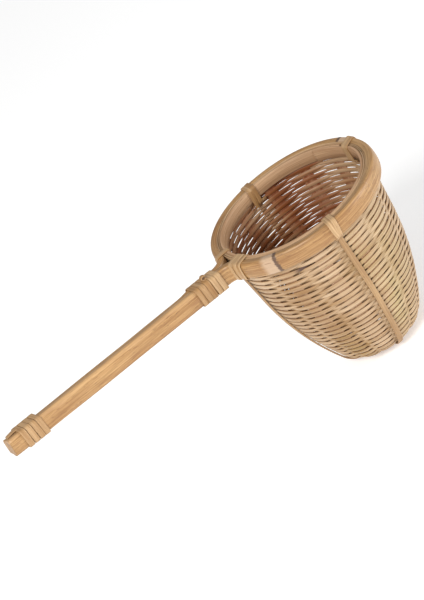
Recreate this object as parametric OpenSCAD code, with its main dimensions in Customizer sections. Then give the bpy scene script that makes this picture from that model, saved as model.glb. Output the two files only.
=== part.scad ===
// Bamboo tea strainer: a deep woven basket between two hoops, on a bent-strip handle.
// Millimetres. Z is up and the mouth opens upwards. The origin is under the middle of the base.
// The handle leaves along -X. The front lashing is at -Y, the back one at +Y, the tip one at +X.

/* [Hoops] */
// Outside diameter of the mouth
mouth_d = 100; // [94:1:106]
// Height of the whole basket, from its crossed ribs to the top of the hoops
total_h = 98; // [94:1:103]
// Height of the outer hoop's strip, and of the handle
hoop_w = 10; // [9:0.5:11]
// Thickness of the outer hoop's strip
hoop_t = 4.6; // [4.2:0.1:4.8]
// Height of the flat inner hoop
inner_hoop_w = 7; // [6:0.5:8]
// Thickness of the flat inner hoop
inner_hoop_t = 1.7; // [1.4:0.1:2]
// Room between the hoops for the weave's edge
hoop_gap = 1.8; // [1.8:0.1:2]

/* [Handle] */
// Distance from the basket's axis to the handle's end
handle_reach = 198; // [170:1:220]
// Upward tilt of the handle from the mouth's plane
handle_tilt = 4.6; // [0:0.2:8]
// Radius of the bend where each tail leaves the hoop
bend_r = 9; // [8:0.5:12]

/* [Weave] */
// Number of upright stakes, odd so that one spiral weaver alternates
stakes = 13; // [11:2:15]
// Turn of the first stake from the +X direction
stake_turn = -3.2; // [-14:0.1:14]
// Width of a stake on the wall
stake_w = 7; // [5:0.1:8]
// Width of a stake where it leaves the crossed middle of the base
stake_root_w = 4; // [3:0.1:6]
// Thickness of every thin splint
splint_t = 0.75; // [0.6:0.05:0.75]
// Distance from one turn of the weaver to the next
row_pitch = 1.7; // [1.6:0.05:1.8]
// Lengths of weaver, one after another up the basket
weaver_lengths = 8; // [6:1:10]

/* [Lashings] */
// Direction of the front lashing and rib
front_at = -96; // [-100:0.5:-80]
// Direction of the back lashing and rib
back_at = 91; // [80:0.5:100]
// Direction of the tip lashing and rib
tip_at = 5; // [-12:0.5:12]
// Width of a rib, and of a binding strip on the handle
strip_w = 3.2; // [2.8:0.1:3.4]
// Width of a lashing strip on the hoops
lash_w = 2.6; // [2.2:0.1:2.8]
// Thickness of a binding strip
strip_t = 0.6; // [0.5:0.05:0.7]
// Thickness of the two ribs that run under the base
rib_t = 0.9; // [0.7:0.1:1]

/* [Hidden] */
$fn = 96;
clearance = 0.05;                // air left between neighbouring splints
mouth_r = mouth_d / 2;
hoop_z = total_h - hoop_w;       // lower edge of the outer hoop
hoop_inside_r = mouth_r - hoop_t;
hoop_mid_r = mouth_r - hoop_t / 2;
inner_hoop_r = hoop_inside_r - hoop_gap;
seam = 0.12;                     // half of the gap between the two tails
tail_y = seam + hoop_t / 2;      // middle of a tail

// The basket's outline, outside the weave: a flat base, a tight arc, a slow arc, a
// straight wall, and an upright stretch between the hoops. It is measured by its
// length along the surface, which starts at the edge of the flat base.
base_z = 2 * rib_t + clearance;
corner_r = 15;
corner_turn = 62;
belly_r = 150;
wall_turn = 84.4;
flat_r = 12.7;
corner_len = corner_r * corner_turn * PI / 180;
belly_len = belly_r * (wall_turn - corner_turn) * PI / 180;
belly_z = base_z + corner_r * (1 - cos(corner_turn)) + belly_r * (cos(corner_turn) - cos(wall_turn));
belly_top_r = flat_r + corner_r * sin(corner_turn) + belly_r * (sin(wall_turn) - sin(corner_turn));
edge_r = hoop_inside_r - 2 * clearance;   // weave's outside between the hoops
wall_dr = edge_r - belly_top_r;
wall_dz = hoop_z - belly_z;
wall_len = norm([wall_dr, wall_dz]);
wall_head = atan2(wall_dz, wall_dr);
edge_start = corner_len + belly_len + wall_len;
edge_len = hoop_w - 1.6;
mat_r = 14.4;                    // radius of the crossed middle of the base
weave_start = mat_r - flat_r;
weave_len = edge_start + edge_len - weave_start;

rows = round(weave_len / row_pitch);
rows_each = rows / weaver_lengths;
mat_splints = 3;
mat_pitch = 9;
stake_full_r = 36;               // from here up, a stake has its full width

// A point of the basket's outline at length s along it, moved outwards by d.
function skin(s, d) =
    s < 0 ? [flat_r + s, base_z - d] :
    s < corner_len ? let (h = s / corner_r * 180 / PI)
        [flat_r + (corner_r + d) * sin(h), base_z + corner_r - (corner_r + d) * cos(h)] :
    s < corner_len + belly_len ?
        let (h = corner_turn + (s - corner_len) / belly_r * 180 / PI)
        [belly_top_r - belly_r * sin(wall_turn) + (belly_r + d) * sin(h),
         belly_z + belly_r * cos(wall_turn) - (belly_r + d) * cos(h)] :
    s < edge_start ? let (u = (s - corner_len - belly_len) / wall_len)
        [belly_top_r + u * wall_dr + d * sin(wall_head),
         belly_z + u * wall_dz - d * cos(wall_head)] :
    [edge_r + d, hoop_z + s - edge_start];

function lengths(s0, s1, step) = let (n = ceil((s1 - s0) / step))
    [for (i = [0:n]) s0 + (s1 - s0) * i / n];
function backwards(list) = [for (i = [len(list) - 1:-1:0]) list[i]];

// The hoop strip's section: flat pith side, rounded skin side.
function strip_section(t, w, crown = 1.5) = concat(
    [[-t / 2, -w / 2]],
    [for (a = [-90:22.5:90]) [t / 2 - crown + crown * cos(a), w / 2 * sin(a)]],
    [[-t / 2, w / 2]]
);

// A rounded rectangle, for the loops of a binding.
function round_box(x, y, r) = [for (c = [[1, 1, 0], [-1, 1, 90], [-1, -1, 180], [1, -1, 270]])
    for (a = [0:22.5:90]) [c[0] * (x / 2 - r) + r * cos(c[2] + a), c[1] * (y / 2 - r) + r * sin(c[2] + a)]];

bend_reach = sqrt(pow(hoop_mid_r + bend_r, 2) - pow(bend_r + tail_y, 2));
bend_turn = atan2(bend_reach, bend_r + tail_y);
knee_run = 3;                    // straight stretch between the bend and the knee
bend_steps = 8;
neck_lash_turn = 19;             // from the handle to the lashings on each side of it
ring_steps = 72;
knee_x = bend_reach + knee_run;
rise_len = (handle_reach - knee_x) / cos(handle_tilt);

// Places a thing on the handle: x runs towards the handle's end, z up from its lower edge.
module on_handle() {
    translate([-knee_x, 0, hoop_z + hoop_w / 2]) rotate([0, handle_tilt, 0]) rotate([0, 0, 180])
        translate([0, 0, -hoop_w / 2]) children();
}

// The strip's path, from the end of one tail round the ring to the end of the other. Each
// station has its middle, the direction that the skin faces, and the strip's own upward axis.
function tail_station(side, run, turn) = [
    [-knee_x - run * cos(handle_tilt), side * tail_y, hoop_z + hoop_w / 2 + run * sin(handle_tilt)],
    [0, side, 0], [sin(turn), 0, cos(turn)]];
function bend_station(side, a) = [
    [-bend_reach + bend_r * sin(a), side * (bend_r + tail_y - bend_r * cos(a)), hoop_z + hoop_w / 2],
    [-sin(a), side * cos(a), 0], [0, 0, 1]];
function ring_station(a) = [
    [hoop_mid_r * cos(a), hoop_mid_r * sin(a), hoop_z + hoop_w / 2], [cos(a), sin(a), 0], [0, 0, 1]];
function one_tail(side) = concat(
    [for (u = [1, 0.5]) tail_station(side, u * rise_len, handle_tilt)],
    [tail_station(side, 0, handle_tilt / 2)],
    [for (k = [0:bend_steps - 1]) bend_station(side, bend_turn * k / bend_steps)]
);
ring_half = 90 + bend_turn;
strip_path = concat(
    one_tail(1),
    [for (k = [0:ring_steps]) ring_station(ring_half * (1 - 2 * k / ring_steps))],
    backwards(one_tail(-1))
);

// Sweeps a section, given as [across, up] points, through stations.
module sweep(stations, section) {
    n = len(section);
    last = len(stations) - 1;
    points = [for (st = stations) for (p = section) st[0] + p[0] * st[1] + p[1] * st[2]];
    sides = [for (k = [0:last - 1]) for (j = [0:n - 1])
        [k * n + j, (k + 1) * n + j, (k + 1) * n + (j + 1) % n, k * n + (j + 1) % n]];
    polyhedron(points, concat([[for (j = [0:n - 1]) j]], sides,
        [[for (j = [n - 1:-1:0]) last * n + j]]), convexity = 10);
}

module outer_hoop() {
    color("burlywood") sweep(strip_path, strip_section(hoop_t, hoop_w));
}

module inner_hoop() {
    lap_at = tip_at + 6;
    lap_turn = 26;
    lap_t = 1.1;
    z = total_h - inner_hoop_w;
    color("tan") union() {
        rotate_extrude(convexity = 4) translate([inner_hoop_r - inner_hoop_t, z])
            square([inner_hoop_t, inner_hoop_w]);
        rotate([0, 0, lap_at]) rotate_extrude(angle = lap_turn, convexity = 4)
            translate([inner_hoop_r - inner_hoop_t - lap_t, z])
            square([lap_t + 0.1, inner_hoop_w]);
    }
}

// Thin strands that fill the gap between the hoops on top of the weave's edge.
module rim_strand(i) {
    d = 0.56;
    color("wheat") rotate_extrude(convexity = 4)
        translate([inner_hoop_r + hoop_gap * (i + 0.5) / 3, total_h - 0.7]) circle(d = d, $fn = 16);
}

// A stake tapers towards the base, where the stakes stand closest.
module stake(i) {
    path = lengths(weave_start, edge_start + edge_len, 4);
    outline = concat(
        [for (s = path) skin(s, -splint_t - clearance)],
        backwards([for (s = path) skin(s, -2 * splint_t - clearance)])
    );
    taper = [[0, stake_root_w / 2], [mat_r, stake_root_w / 2], [stake_full_r, stake_w / 2], [mouth_r, stake_w / 2]];
    color("navajowhite") rotate([0, 0, stake_turn + i * 360 / stakes]) intersection() {
        rotate([90, 0, 0]) linear_extrude(stake_w, center = true) polygon(outline);
        linear_extrude(total_h) polygon(concat(taper, backwards([for (p = taper) [p[0], -p[1]]])));
    }
}

module base_splint(i, layer) {
    z = base_z + splint_t + clearance - layer * (splint_t + clearance);
    color("navajowhite") rotate([0, 0, layer * 90]) intersection() {
        translate([-mat_r, (i - 1) * mat_pitch - 4, z]) cube([2 * mat_r, 8, splint_t]);
        cylinder(r = mat_r - clearance, h = total_h);
    }
}

// One length of weaver: a band of neighbouring turns outside the stakes, one ridge a turn.
module weaver(i) {
    s0 = weave_start + i * rows_each * row_pitch + clearance;
    s1 = weave_start + (i + 1) * rows_each * row_pitch - clearance;
    ridge = [for (s = lengths(s0, s1, row_pitch / 3))
        skin(s, -0.3 * pow(cos((s - s0) / row_pitch * 180), 2))];
    inside = [for (s = lengths(s0, s1, row_pitch)) skin(s, -splint_t)];
    color("moccasin") rotate_extrude(convexity = 6) polygon(concat(ridge, backwards(inside)));
}

// Half of a rib, from under the middle of the base to the top of the wall. The lower rib dips
// under the upper one where they cross.
module half_rib(dip) {
    path = lengths(0, edge_start - 1, 3);
    under = base_z - clearance;
    middle = [[-strip_w / 2, dip], [strip_w, dip], [flat_r / 2, 0]];
    rotate([90, 0, 0]) linear_extrude(strip_w, center = true) polygon(concat(
        [for (m = middle) [m[0], under - m[1]]],
        [for (s = path) skin(s, clearance)],
        backwards([for (s = path) skin(s, clearance + rib_t)]),
        backwards([for (m = middle) [m[0], under - rib_t - m[1]]])
    ));
}

module rib(angles, dip) {
    color("peru") union() for (a = angles) rotate([0, 0, a]) half_rib(dip);
}

// A strip wound round both hoops. It is open underneath, where it passes through the weave.
module rim_loops(turns) {
    inside = mouth_r - inner_hoop_r + inner_hoop_t + 2 * clearance + 0.3;
    mid = mouth_r + 0.1 - inside / 2;
    for (k = [0:turns - 1])
        translate([mid, (k - (turns - 1) / 2) * (lash_w + clearance), hoop_z + hoop_w / 2])
        rotate([90 , 0, 0]) linear_extrude(lash_w, center = true) difference() {
            polygon(round_box(inside + 2 * strip_t, hoop_w + 2 * strip_t + 0.2, 1.6));
            polygon(round_box(inside, hoop_w + 0.2, 1));
            translate([edge_r - 2 * splint_t - mid - 0.5, -hoop_w]) square([2 * splint_t + 0.8, hoop_w]);
        }
}

module lashing(angle, turns) {
    color("khaki") rotate([0, 0, angle]) rim_loops(turns);
}

// Loops round the two tails, side by side along the handle.
module tail_loops(start, turns, pitch) {
    for (k = [0:turns - 1])
        on_handle() translate([start + k * pitch, 0, hoop_w / 2]) rotate([90, 0, 90])
        linear_extrude(strip_w, center = true) difference() {
            polygon(round_box(2 * (hoop_t + seam) + 2 * strip_t + 0.3, hoop_w + 2 * strip_t + 0.4, 1.8));
            polygon(round_box(2 * (hoop_t + seam) + 0.3, hoop_w + 0.4, 1.2));
        }
}

module end_binding_tuck() {
    color("khaki") on_handle()
        translate([rise_len - 9.5, -0.5, hoop_w + 0.02]) rotate([0, 0, 8]) cube([8, strip_w, strip_t]);
}

outer_hoop();
inner_hoop();
for (i = [0:2]) rim_strand(i);
for (i = [0:stakes - 1]) stake(i);
for (i = [0:mat_splints - 1]) {
    base_splint(i, 1);
    base_splint(i, 0);
}
for (i = [0:weaver_lengths - 1]) weaver(i);
rib([front_at, back_at], rib_t);  // rib_front_back
rib([180, tip_at], 0);  // rib_handle_tip
lashing(front_at, 2);  // lashing_front
lashing(back_at, 2);  // lashing_back
lashing(tip_at, 2);  // lashing_tip
color("peru") tail_loops(5.9, 3, strip_w + 0.1);  // neck_binding_outer
color("khaki") tail_loops(-1, 2, strip_w + 0.1);  // neck_binding_inner
lashing(180 + neck_lash_turn, 3);  // neck_lashing_near
lashing(180 - neck_lash_turn, 1);  // neck_lashing_far
color("khaki") tail_loops(rise_len - 20, 4, strip_w + 0.3);  // end_binding
end_binding_tuck();
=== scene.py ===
# %% [markdown]
# # A bamboo tea strainer
# A deep woven basket hangs between two bamboo hoops. The outer hoop is one thick strip, and its two
# tails run on together as the handle. Thin strips lash everything. Each piece is built here as the
# basket maker makes it: split a strip, lay it along its path, wind it, and tuck its end away.
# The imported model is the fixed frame, so sizes come from its boxes, and a piece goes where it says.

# %% Load the frame
import math
import bpy
from mathutils import Matrix, Vector, noise


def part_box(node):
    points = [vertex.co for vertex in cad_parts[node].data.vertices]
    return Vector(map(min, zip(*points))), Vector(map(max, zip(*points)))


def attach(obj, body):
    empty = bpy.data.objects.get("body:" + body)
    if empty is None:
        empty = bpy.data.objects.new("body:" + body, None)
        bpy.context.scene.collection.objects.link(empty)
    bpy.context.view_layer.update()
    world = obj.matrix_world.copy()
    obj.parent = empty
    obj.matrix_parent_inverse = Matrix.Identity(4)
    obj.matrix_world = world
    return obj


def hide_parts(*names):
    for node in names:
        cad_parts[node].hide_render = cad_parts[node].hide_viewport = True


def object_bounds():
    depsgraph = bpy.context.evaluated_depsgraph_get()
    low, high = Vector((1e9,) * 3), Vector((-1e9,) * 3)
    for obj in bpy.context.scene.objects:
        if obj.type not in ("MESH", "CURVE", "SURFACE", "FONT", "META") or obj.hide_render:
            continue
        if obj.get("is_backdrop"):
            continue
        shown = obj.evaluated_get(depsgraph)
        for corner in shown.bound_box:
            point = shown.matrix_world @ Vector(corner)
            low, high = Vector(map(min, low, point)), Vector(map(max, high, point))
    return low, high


MM = 0.001
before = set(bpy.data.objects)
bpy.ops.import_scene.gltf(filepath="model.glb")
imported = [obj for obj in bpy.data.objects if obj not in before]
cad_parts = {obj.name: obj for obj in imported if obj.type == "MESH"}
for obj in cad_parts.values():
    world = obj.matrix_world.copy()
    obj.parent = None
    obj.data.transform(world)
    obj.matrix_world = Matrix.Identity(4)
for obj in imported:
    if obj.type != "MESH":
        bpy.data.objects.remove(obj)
cad_box = [list(corner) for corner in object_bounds()]
print("frame:", len(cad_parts), "nodes, box", [[round(v / MM, 1) for v in c] for c in cad_box])

# %% [markdown]
# ## Camera, floor and light
# The strainer is seen from the handle's side, a little from above, with the camera rolled so that
# the handle falls to the lower left. A long lens keeps the round mouth an honest ellipse. Large soft
# lamps over a nearly white floor give an even light with faint shadows.

# %% The camera
VIEW_TURN, VIEW_RISE, VIEW_ROLL = math.radians(-15.8), math.radians(26), math.radians(36.1)
rim_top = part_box("inner_hoop")[1].z
to_camera = Vector((math.sin(VIEW_TURN) * math.cos(VIEW_RISE), -math.cos(VIEW_TURN) * math.cos(VIEW_RISE),
                    math.sin(VIEW_RISE)))
level = Vector((math.cos(VIEW_TURN), math.sin(VIEW_TURN), 0))
upright = to_camera.cross(level)
cam_right = math.cos(VIEW_ROLL) * level - math.sin(VIEW_ROLL) * upright
cam_up = to_camera.cross(cam_right)
aim = Vector((0, 0, rim_top)) - 40.8 * MM * cam_right - 52 * MM * cam_up

camera_data = bpy.data.cameras.new("camera")
camera_data.lens = 231
camera_data.sensor_width = 36
camera = bpy.data.objects.new("camera", camera_data)
bpy.context.scene.collection.objects.link(camera)
camera.matrix_world = Matrix.Translation(aim + to_camera * 2) @ Matrix(
    (cam_right, cam_up, to_camera)).transposed().to_4x4()
bpy.context.scene.camera = camera
print("camera at", [round(v, 3) for v in camera.matrix_world.translation])

# %% The floor and the lamps
def soft_lamp(name, place, aim_at, size, power, tint=(1, 1, 1)):
    data = bpy.data.lights.new(name, "AREA")
    data.shape, data.size, data.energy, data.color = "DISK", size, power, tint
    lamp = bpy.data.objects.new(name, data)
    bpy.context.scene.collection.objects.link(lamp)
    place, aim_at = Vector(place), Vector(aim_at)
    lamp.matrix_world = Matrix.Translation(place) @ (place - aim_at).to_track_quat("Z", "Y").to_matrix().to_4x4()
    return lamp


floor_mesh = bpy.data.meshes.new("floor")
reach = 6
floor_mesh.from_pydata([(-reach, -reach, 0), (reach, -reach, 0), (reach, reach, 0), (-reach, reach, 0)],
                       [], [(0, 1, 2, 3)])
floor = bpy.data.objects.new("floor", floor_mesh)
floor.location.z = -0.0005
bpy.context.scene.collection.objects.link(floor)
floor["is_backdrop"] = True
paper = bpy.data.materials.new("floor_paper")
paper.use_nodes = True
paper.node_tree.nodes["Principled BSDF"].inputs["Base Color"].default_value = (0.93, 0.93, 0.93, 1)
paper.node_tree.nodes["Principled BSDF"].inputs["Roughness"].default_value = 0.9
paper.node_tree.nodes["Principled BSDF"].inputs["Emission Color"].default_value = (1, 1, 1, 1)
paper.node_tree.nodes["Principled BSDF"].inputs["Emission Strength"].default_value = 0.35
floor_mesh.materials.append(paper)

soft_lamp("lamp_left", (-0.9, -0.9, 1.0), (0, 0, 0.06), 0.7, 19)
soft_lamp("lamp_right", (1.3, -0.9, 0.35), (0, 0, 0.05), 0.7, 14)
world = bpy.data.worlds.new("studio")
world.use_nodes = True
world.node_tree.nodes["Background"].inputs["Color"].default_value = (1, 1, 1, 1)
world.node_tree.nodes["Background"].inputs["Strength"].default_value = 0.42
bpy.context.scene.world = world
bpy.context.scene.view_settings.view_transform = "Standard"

# %% [markdown]
# ## The sizes that everything shares
# The hoops' sizes are read from the frame. The basket's outline is worked out the way it is drawn: a
# flat base, a tight arc, a slow arc, a straight wall, and an upright edge between the hoops. `skin`
# gives a point of that outline from its length along the surface, so every splint can follow it.

# %% Sizes of the hoops and the handle
hoop_low, hoop_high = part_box("outer_hoop")
mouth_r = hoop_high.x                      # outside of the outer hoop
hoop_z = hoop_low.z                        # its lower edge
hoop_w = rim_top - hoop_z
hoop_t = 4.6 * MM
hoop_mid_r = mouth_r - hoop_t / 2
inner_hoop_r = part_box("inner_hoop")[1].x   # outside of the inner hoop
inner_hoop_w = rim_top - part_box("inner_hoop")[0].z
inner_hoop_t = 1.7 * MM
TILT = math.radians(4.6)                   # the handle rises towards its end
bend_r = 9 * MM
tail_y = hoop_t / 2 + 0.03 * MM            # middle of a tail
handle_reach = -hoop_low.x - hoop_w / 2 * math.sin(TILT)
bend_reach = math.sqrt((hoop_mid_r + bend_r) ** 2 - (bend_r + tail_y) ** 2)
bend_turn = math.atan2(bend_reach, bend_r + tail_y)
ring_half = math.pi / 2 + bend_turn
knee_x = bend_reach + 3 * MM
rise_len = (handle_reach - knee_x) / math.cos(TILT)
print("mouth %.1f mm, handle end at %.1f mm" % (2 * mouth_r / MM, handle_reach / MM))

# %% The basket's outline
splint_t = 0.75 * MM
gap = 0.05 * MM
rib_t = 0.9 * MM
base_z = 2 * rib_t + gap
flat_r, corner_r, belly_r = 12.7 * MM, 15 * MM, 150 * MM
corner_turn, wall_turn = math.radians(62), math.radians(84.4)
corner_len = corner_r * corner_turn
belly_len = belly_r * (wall_turn - corner_turn)
belly_z = base_z + corner_r * (1 - math.cos(corner_turn)) + belly_r * (math.cos(corner_turn) - math.cos(wall_turn))
belly_top_r = flat_r + corner_r * math.sin(corner_turn) + belly_r * (math.sin(wall_turn) - math.sin(corner_turn))
edge_r = mouth_r - hoop_t - 2 * gap
wall_len = math.hypot(edge_r - belly_top_r, hoop_z - belly_z)
wall_head = math.atan2(hoop_z - belly_z, edge_r - belly_top_r)
edge_start = corner_len + belly_len + wall_len
edge_len = hoop_w - 1.6 * MM
mat_r = 14.4 * MM
weave_start = mat_r - flat_r
row_pitch = 1.7 * MM
rows = round((edge_start + edge_len - weave_start) / row_pitch)


def skin(s, d):
    """(radius, height) at length s along the outline, moved outwards by d."""
    if s < 0:
        return flat_r + s, base_z - d
    if s < corner_len:
        h = s / corner_r
        return flat_r + (corner_r + d) * math.sin(h), base_z + corner_r - (corner_r + d) * math.cos(h)
    if s < corner_len + belly_len:
        h = corner_turn + (s - corner_len) / belly_r
        return (belly_top_r - belly_r * math.sin(wall_turn) + (belly_r + d) * math.sin(h),
                belly_z + belly_r * math.cos(wall_turn) - (belly_r + d) * math.cos(h))
    if s < edge_start:
        u = (s - corner_len - belly_len) / wall_len
        return (belly_top_r + u * (edge_r - belly_top_r) + d * math.sin(wall_head),
                belly_z + u * (hoop_z - belly_z) - d * math.cos(wall_head))
    return edge_r + d, hoop_z + s - edge_start


def on_skin(s, d, turn):
    """A point on the basket, and the way that its surface faces there."""
    r, z = skin(s, d)
    r1, z1 = skin(s, d + MM)
    side = Vector((math.cos(turn), math.sin(turn), 0))
    return side * r + Vector((0, 0, z)), (side * (r1 - r) + Vector((0, 0, z1 - z))).normalized()


def smooth(u):
    """0 below 0, 1 above 1, and an even ease between."""
    u = min(1.0, max(0.0, u))
    return u * u * (3 - 2 * u)


def wander(x, seed, size):
    """A smooth, repeatable, hand-made waver between about -size and size."""
    return 1.7 * size * noise.noise(Vector((x, 7.31 * seed + 0.37, 0.5)))


print("outline %.1f mm long, %d turns of weaver" % ((edge_start + edge_len) / MM, rows))

# %% [markdown]
# ## Bamboo, as a finish
# Bamboo shows long straight fibres, short dark flecks, and slow changes from pale cream to gold. All
# pieces carry a vector attribute called `grain`, in metres: x runs along the strip, y across it and z
# through it. Noise stretched along x gives fibres that follow each strip round every bend. One node
# group makes the fibres, and a second one mixes the ageing and a painted shade on inner faces, so
# every material shares them.

# %% Node helpers
def add(tree, kind, **settings):
    node = tree.nodes.new(kind)
    for key, value in settings.items():
        setattr(node, key, value)
    return node


def plug(tree, value, socket):
    """Links an output, or sets a plain value."""
    if isinstance(value, bpy.types.NodeSocket):
        tree.links.new(value, socket)
    else:
        socket.default_value = value


def sum_up(tree, operation, *values):
    node = add(tree, "ShaderNodeMath", operation=operation)
    for value, socket in zip(values, node.inputs):
        plug(tree, value, socket)
    return node.outputs[0]


def stretch(tree, vector, factors):
    node = add(tree, "ShaderNodeVectorMath", operation="MULTIPLY")
    plug(tree, vector, node.inputs[0])
    node.inputs[1].default_value = factors
    return node.outputs[0]


def ramp(tree, value, low, high, to_low=0.0, to_high=1.0):
    node = add(tree, "ShaderNodeMapRange", interpolation_type="SMOOTHSTEP")
    for v, name in ((value, "Value"), (low, "From Min"), (high, "From Max"), (to_low, "To Min"),
                    (to_high, "To Max")):
        plug(tree, v, node.inputs[name])
    return node.outputs["Result"]


def mixed(tree, factor, a, b, blend="MIX"):
    node = add(tree, "ShaderNodeMix", data_type="RGBA", blend_type=blend)
    plug(tree, factor, node.inputs[0])
    for value, socket in ((a, node.inputs[6]), (b, node.inputs[7])):
        plug(tree, (*value, 1) if isinstance(value, tuple) and len(value) == 3 else value, socket)
    return node.outputs[2]


def shader_group(name, inputs, outputs):
    tree = bpy.data.node_groups.new(name, "ShaderNodeTree")
    for label, kind, value in inputs:
        socket = tree.interface.new_socket(label, in_out="INPUT", socket_type=kind)
        if value is not None:
            socket.default_value = value
    for label, kind in outputs:
        tree.interface.new_socket(label, in_out="OUTPUT", socket_type=kind)
    return tree, add(tree, "NodeGroupInput"), add(tree, "NodeGroupOutput")


FLOAT, VECTOR, COLOUR = "NodeSocketFloat", "NodeSocketVector", "NodeSocketColor"

# %% The fibre group
fibres, way_in, way_out = shader_group(
    "bamboo_fibres",
    [("Grain", VECTOR, None), ("Fleck Amount", FLOAT, 0.5)],
    [("Fibre", FLOAT), ("Broad", FLOAT), ("Fleck", FLOAT), ("Height", FLOAT)])


def stretched_noise(tree, vector, factors, detail=3.0, rough=0.6):
    node = add(tree, "ShaderNodeTexNoise", noise_dimensions="3D")
    node.inputs["Scale"].default_value = 1
    node.inputs["Detail"].default_value = detail
    node.inputs["Roughness"].default_value = rough
    tree.links.new(stretch(tree, vector, factors), node.inputs["Vector"])
    return node.outputs[0]


grain_in = way_in.outputs["Grain"]
fine = stretched_noise(fibres, grain_in, (45, 1900, 1900))
broad = stretched_noise(fibres, grain_in, (22, 260, 260), detail=2)
dash = stretched_noise(fibres, grain_in, (240, 2100, 2100), detail=1)
fibres.links.new(ramp(fibres, fine, 0.34, 0.66), way_out.inputs["Fibre"])
fibres.links.new(ramp(fibres, broad, 0.36, 0.64), way_out.inputs["Broad"])
low_edge = sum_up(fibres, "SUBTRACT", 0.8, sum_up(fibres, "MULTIPLY", way_in.outputs["Fleck Amount"], 0.2))
fibres.links.new(ramp(fibres, dash, low_edge, sum_up(fibres, "ADD", low_edge, 0.06)), way_out.inputs["Fleck"])
fibres.links.new(sum_up(fibres, "ADD", fine, sum_up(fibres, "MULTIPLY", broad, 0.5)), way_out.inputs["Height"])
print("group", fibres.name, [s.name for s in fibres.interface.items_tree])

# %% The ageing group, with the painted shade for inner faces
ageing, way_in, way_out = shader_group(
    "bamboo_ageing",
    [("Pale", COLOUR, (0.66, 0.48, 0.30, 1)), ("Gold", COLOUR, (0.5, 0.3, 0.14, 1)), ("Gold Mask", FLOAT, 0.5),
     ("Green Mask", FLOAT, 0.0), ("Fibre", FLOAT, 0.5), ("Fleck", FLOAT, 0.0), ("Fibre Depth", FLOAT, 0.3),
     ("Depth", FLOAT, 0.0), ("Inside", COLOUR, (1, 1, 1, 1)), ("Stain", FLOAT, 0.0)],
    [("Color", COLOUR)])
i = way_in.outputs
aged = mixed(ageing, i["Gold Mask"], i["Pale"], i["Gold"])
aged = mixed(ageing, i["Green Mask"], aged, (0.45, 0.41, 0.15))
between_fibres = sum_up(ageing, "SUBTRACT", 1, i["Fibre"])
shade = sum_up(ageing, "SUBTRACT", 1, sum_up(ageing, "MULTIPLY", between_fibres, i["Fibre Depth"]))
fibre_tint = add(ageing, "ShaderNodeCombineColor")
for channel, power in zip(("Red", "Green", "Blue"), (0.8, 1.0, 1.25)):
    ageing.links.new(sum_up(ageing, "POWER", shade, power), fibre_tint.inputs[channel])
aged = mixed(ageing, 1.0, aged, fibre_tint.outputs[0], "MULTIPLY")
aged = mixed(ageing, sum_up(ageing, "MULTIPLY", i["Fleck"], 0.65), aged, (0.16, 0.075, 0.035))
# Inner faces, where Depth is below zero, are multiplied by the Inside tint, more where the gold mask is high:
# painted shade for the basket's inside.
inner_shade_amount = sum_up(ageing, "ADD", 0.25, sum_up(ageing, "MULTIPLY", i["Gold Mask"], 1.1))
inner_face = ramp(ageing, i["Depth"], 0.1 * MM, -0.1 * MM)
inner_shade_amount = sum_up(ageing, "MULTIPLY", sum_up(ageing, "MINIMUM", inner_shade_amount, 1.0), inner_face)
aged = mixed(ageing, inner_shade_amount, aged, mixed(ageing, 1.0, aged, i["Inside"], "MULTIPLY"))
aged = mixed(ageing, i["Stain"], aged, (0.085, 0.04, 0.025))
ageing.links.new(aged, way_out.inputs["Color"])
print("group", ageing.name, [s.name for s in ageing.interface.items_tree])

# %% [markdown]
# ## The materials
# Every piece is the same plant, cut from different depths of the cane. The hoops keep their glossy
# skin, the weavers and stakes are split inner wood, and the lashings are thin peeled skin. A material
# differs from the next one in its colours, its fibre depth and its gloss, and in the masks it reads.

# %% One bamboo material
def attribute(tree, name, output="Fac"):
    return add(tree, "ShaderNodeAttribute", attribute_type="GEOMETRY", attribute_name=name).outputs[output]


def bamboo(name, pale, gold, fibre_depth=0.3, flecks=0.5, roughness=0.5, bump=0.25, gold_from_noise=0.5,
           inside=(1, 1, 1)):
    material = bpy.data.materials.new(name)
    material.use_nodes = True
    tree = material.node_tree
    shader = tree.nodes["Principled BSDF"]
    grain_node = add(tree, "ShaderNodeGroup", node_tree=fibres)
    plug(tree, attribute(tree, "grain", "Vector"), grain_node.inputs["Grain"])
    grain_node.inputs["Fleck Amount"].default_value = flecks
    colour_node = add(tree, "ShaderNodeGroup", node_tree=ageing)
    colour_node.inputs["Pale"].default_value = (*pale, 1)
    colour_node.inputs["Gold"].default_value = (*gold, 1)
    colour_node.inputs["Fibre Depth"].default_value = fibre_depth
    colour_node.inputs["Inside"].default_value = (*inside, 1)
    grain_parts = add(tree, "ShaderNodeSeparateXYZ")
    plug(tree, attribute(tree, "grain", "Vector"), grain_parts.inputs[0])
    plug(tree, grain_parts.outputs[2], colour_node.inputs["Depth"])
    plug(tree, attribute(tree, "stain"), colour_node.inputs["Stain"])
    gold_mask = sum_up(tree, "ADD", attribute(tree, "gold"),
                       sum_up(tree, "MULTIPLY", sum_up(tree, "SUBTRACT", grain_node.outputs["Broad"], 0.5),
                              gold_from_noise))
    clamp = add(tree, "ShaderNodeClamp")
    plug(tree, gold_mask, clamp.inputs[0])
    plug(tree, clamp.outputs[0], colour_node.inputs["Gold Mask"])
    plug(tree, attribute(tree, "green"), colour_node.inputs["Green Mask"])
    for label in ("Fibre", "Fleck"):
        plug(tree, grain_node.outputs[label], colour_node.inputs[label])
    plug(tree, colour_node.outputs["Color"], shader.inputs["Base Color"])
    plug(tree, ramp(tree, grain_node.outputs["Fibre"], 0, 1, roughness + 0.08, roughness - 0.05),
         shader.inputs["Roughness"])
    dents = add(tree, "ShaderNodeBump")
    dents.inputs["Strength"].default_value = bump
    dents.inputs["Distance"].default_value = 0.0002
    plug(tree, grain_node.outputs["Height"], dents.inputs["Height"])
    plug(tree, dents.outputs[0], shader.inputs["Normal"])
    return material


# The Inside tint darkens the inner faces of weavers and stakes to a red-brown: painted shade for the inside of the
# basket.
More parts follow.
